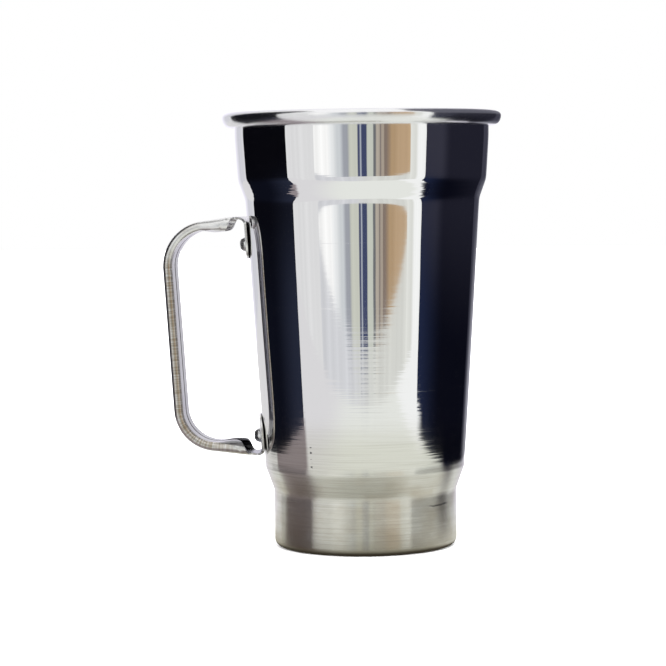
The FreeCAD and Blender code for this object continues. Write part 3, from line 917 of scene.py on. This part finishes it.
def metal(name, colour, roughness, normal, anisotropy=0.0, rotation=0.0):
    """Metal whose colour, roughness and normal come from builders that take the node tree."""
    material = bpy.data.materials.new(name)
    material.use_nodes = True
    tree = material.node_tree
    shader = tree.nodes["Principled BSDF"]
    shader.inputs["Metallic"].default_value = 1.0
    shader.inputs["Anisotropic"].default_value = anisotropy
    shader.inputs["Anisotropic Rotation"].default_value = rotation
    for socket, build in (("Base Color", colour), ("Roughness", roughness), ("Normal", normal)):
        tree.links.new(build(tree), shader.inputs[socket])
    if anisotropy:
        tangent = make(tree, "Tangent", direction_type="RADIAL", axis="Z")
        tree.links.new(tangent, shader.inputs["Tangent"])
    return material


def height_above_base(tree):
    """Height of the shaded point in the object."""
    return make(tree, "SeparateXYZ", {0: make(tree, "TexCoord", output="Object")}, output=2)


def degrees_round(tree):
    """Degrees round the cup to the right of its front, which faces -Y."""
    parts = tree.nodes.new("ShaderNodeSeparateXYZ")
    tree.links.new(make(tree, "TexCoord", output="Object"), parts.inputs[0])
    front = times(tree, parts.outputs["Y"], -1.0)
    return maths(tree, "DEGREES", maths(tree, "ARCTAN2", parts.outputs["X"], front))


def marks(tree, up):
    """1 on the scratch on the right of the foot and on the column of small nicks low on the wall."""
    turn = degrees_round(tree)
    wander = stretched_noise(tree, *SCRATCH_GRAIN)
    middle = maths(tree, "MULTIPLY_ADD", wander, SCRATCH_WANDER, SCRATCH_HEIGHT)
    offset = maths(tree, "ABSOLUTE", maths(tree, "SUBTRACT", up, middle))
    scratch = times(tree, smooth(tree, offset, *SCRATCH_EDGE), between(tree, turn, *SCRATCH_TURN))
    chips = patches(tree, NICKS_GRAIN, NICKS_PATCHES)
    nicks = times(tree, between(tree, turn, *NICKS_TURN), between(tree, up, *NICKS_HEIGHT), chips)
    return maths(tree, "MAXIMUM", scratch, nicks)


def cup_colour(tree):
    """Bright metal, a little yellow and brushed low on the wall, dirty and streaked round the foot; painted
    contact shade at the bottom.
    """
    up = height_above_base(tree)
    lines = maths(tree, "MULTIPLY_ADD", stretched_noise(tree, *BRUSHED_GRAIN), *BRUSHED_DEPTH)
    colour = blend(tree, times(tree, smooth(tree, up, *BRUSHED_HEIGHTS), lines), BRIGHT, YELLOWED)
    dirt = times(tree, smooth(tree, up, *DIRT_HEIGHTS), patches(tree, DIRT_GRAIN, DIRT_PATCHES))
    colour = blend(tree, dirt, colour, DIRT)
    low = times(tree, smooth(tree, up, *STREAK_HEIGHTS), STREAK_STRENGTH)
    streaks = times(tree, patches(tree, STREAK_GRAIN, STREAK_PATCHES), low)
    colour = blend(tree, streaks, colour, STREAK)
    # painted contact shade along the bottom edge of the foot
    colour = blend(tree, smooth(tree, up, *PAINTED_CONTACT_SHADE_HEIGHTS), colour, PAINTED_CONTACT_SHADE)
    return blend(tree, times(tree, marks(tree, up), MARK_STRENGTH), colour, MARK)


def cup_roughness(tree):
    """Mirror above, finely brushed below, duller on the bead and the foot, with faint scribed lines."""
    up = height_above_base(tree)
    grain = stretched_noise(tree, *SATIN_GRAIN)
    finishes = (MIRROR_ROUGHNESS, WALL_ROUGHNESS, BEAD_ROUGHNESS, FOOT_ROUGHNESS)
    mirror, brushed, bead, foot = [maths(tree, "MULTIPLY_ADD", grain, *finish) for finish in finishes]
    wall = mixed(tree, smooth(tree, up, *MIRROR_HEIGHTS), mirror, brushed)
    broken = patches(tree, SCRIBE_GRAIN, SCRIBE_PATCHES)
    for height in SCRIBES:
        line = between(tree, up, height - SCRIBE_HALF, height + SCRIBE_HALF, SCRIBE_HALF)
        wall = maths(tree, "MULTIPLY_ADD", times(tree, line, broken), SCRIBE_ROUGHNESS, wall)
    wall = mixed(tree, smooth(tree, up, *BEAD_HEIGHTS), wall, bead)
    return mixed(tree, smooth(tree, up, *FOOT_HEIGHTS), wall, foot)


def cup_normal(tree):
    """Slow waviness of the spun wall, and fine turned lines, stronger on its lower half and on the step."""
    up = height_above_base(tree)
    slow = stretched_noise(tree, *WAVE_GRAIN)
    waves = make(tree, "Bump", {"Height": slow, "Distance": WAVE_DEPTH, "Strength": WAVE_STRENGTH})
    lines = stretched_noise(tree, *TURNED_GRAIN)
    low = maths(tree, "MULTIPLY_ADD", smooth(tree, up, *TURNED_HEIGHTS), TURNED_LOW, TURNED_LEAST)
    step = between(tree, up, *TURNED_STEP_SPAN)
    depth = maths(tree, "MULTIPLY_ADD", step, TURNED_STEP, low)
    turned = {"Height": lines, "Distance": TURNED_DEPTH, "Strength": depth, "Normal": waves}
    return make(tree, "Bump", turned)


def strip_place(tree):
    """(way along, distance across) on the handle's flat strip, in metres."""
    parts = tree.nodes.new("ShaderNodeSeparateXYZ")
    tree.links.new(make(tree, "UVMap", uv_map="strip"), parts.inputs[0])
    return parts.outputs["X"], parts.outputs["Y"]


def strip_noise(tree, along, sideways, detail):
    """Noise over the handle's flat strip, with its own scales along and across it."""
    way, across = strip_place(tree)
    spot = make(tree, "CombineXYZ", {"X": times(tree, way, along), "Y": times(tree, across, sideways)})
    return make(tree, "TexNoise", {"Vector": spot, "Scale": 1.0, "Detail": detail})


def lips_of_grip(tree):
    """1 on the two lips along the straight of the grip: painted shade, and glazed by handling."""
    way, across = strip_place(tree)
    lip = smooth(tree, maths(tree, "ABSOLUTE", across), *LIP_START)
    return times(tree, lip, between(tree, way, *GRIP_SPAN))


def handle_colour(tree):
    """Silver with stains, brown cross ticks where the edge was rolled, and painted shade on the grip's lips.
    """
    way, across = strip_place(tree)
    edge = maths(tree, "ABSOLUTE", across)
    ticks = smooth(tree, strip_noise(tree, *WORN_TICKS), *WORN_PATCHES)
    worked = times(tree, between(tree, edge, *ROLLED_SPAN), between(tree, way, *WORN_SPAN), ticks)
    silver = blend(tree, patches(tree, STAIN_GRAIN, STAIN_PATCHES), SILVER, STAINED)
    worn = blend(tree, worked, silver, WORN)
    # painted shade on the lips of the grip, darkest at their roots
    painted_lip_shade = blend(tree, smooth(tree, edge, *LIP_DEPTH), LIP_ROOT_PAINTED_SHADE, LIP_PAINTED_SHADE)
    return blend(tree, lips_of_grip(tree), worn, painted_lip_shade)


def handle_roughness(tree):
    """Satin, a little uneven."""
    return maths(tree, "MULTIPLY_ADD", stretched_noise(tree, *STRIP_GRAIN), *STRIP_ROUGHNESS)


def handle_normal(tree):
    """Fine ticks across the strip, left by the rolls."""
    ticks = strip_noise(tree, *ROLL_TICKS)
    return make(tree, "Bump", {"Height": ticks, "Distance": TICK_DEPTH, "Strength": BUMP_STRENGTH})


def back_colour(tree):
    """The strip's back: dull, with painted shade along the grip and inside the roll of its lower half."""
    way, across = strip_place(tree)
    bare = blend(tree, patches(tree, MOTTLE_GRAIN, MOTTLE_PATCHES), BACK, BACK_MOTTLE)
    # painted shade: darker along the grip, near black inside the roll of the lower half
    bare = blend(tree, between(tree, way, *GRIP_SPAN), bare, BACK_GRIP_SHADE)
    roll = smooth(tree, maths(tree, "ABSOLUTE", across), *INSIDE_ROLL)
    return blend(tree, times(tree, roll, between(tree, way, *LOWER_SPAN)), bare, BACK_ROLL_SHADE)


def rivet_colour(tree):
    """Bright metal with duller patches."""
    return blend(tree, patches(tree, RIVET_GRAIN, RIVET_PATCHES), RIVET_BRIGHT, RIVET_DULL)


def rivet_roughness(tree):
    """Uneven satin, for the rivets and the strip's back."""
    return maths(tree, "MULTIPLY_ADD", stretched_noise(tree, *DULL_GRAIN), *DULL_ROUGHNESS)


def rivet_normal(tree):
    """Small dents, for the rivets and the strip's back."""
    dents = stretched_noise(tree, *DENT_GRAIN)
    return make(tree, "Bump", {"Height": dents, "Distance": DENT_DEPTH, "Strength": BUMP_STRENGTH})


def glaze(material, where):
    """Clear coat on a metal, where a builder that takes the node tree gives 1."""
    tree = material.node_tree
    shader = tree.nodes["Principled BSDF"]
    shader.inputs["Coat IOR"].default_value = GLAZE_IOR
    shader.inputs["Coat Roughness"].default_value = GLAZE_ROUGHNESS
    tree.links.new(where(tree), shader.inputs["Coat Weight"])


cup.data.materials.append(metal("cup_aluminium", cup_colour, cup_roughness, cup_normal, ANISOTROPY,
                                ANISOTROPY_TURN))
strip_face = metal("handle_aluminium", handle_colour, handle_roughness, handle_normal)
glaze(strip_face, lips_of_grip)
handle.data.materials.append(strip_face)
handle.data.materials.append(metal("handle_back", back_colour, rivet_roughness, rivet_normal))
for rivet in (upper_rivet, lower_rivet):
    rivet.data.materials.append(metal("rivet_aluminium", rivet_colour, rivet_roughness, rivet_normal))

make_world()
make_floor()
make_sheet()
for board in BOARDS:
    make_board(*board)
make_camera()
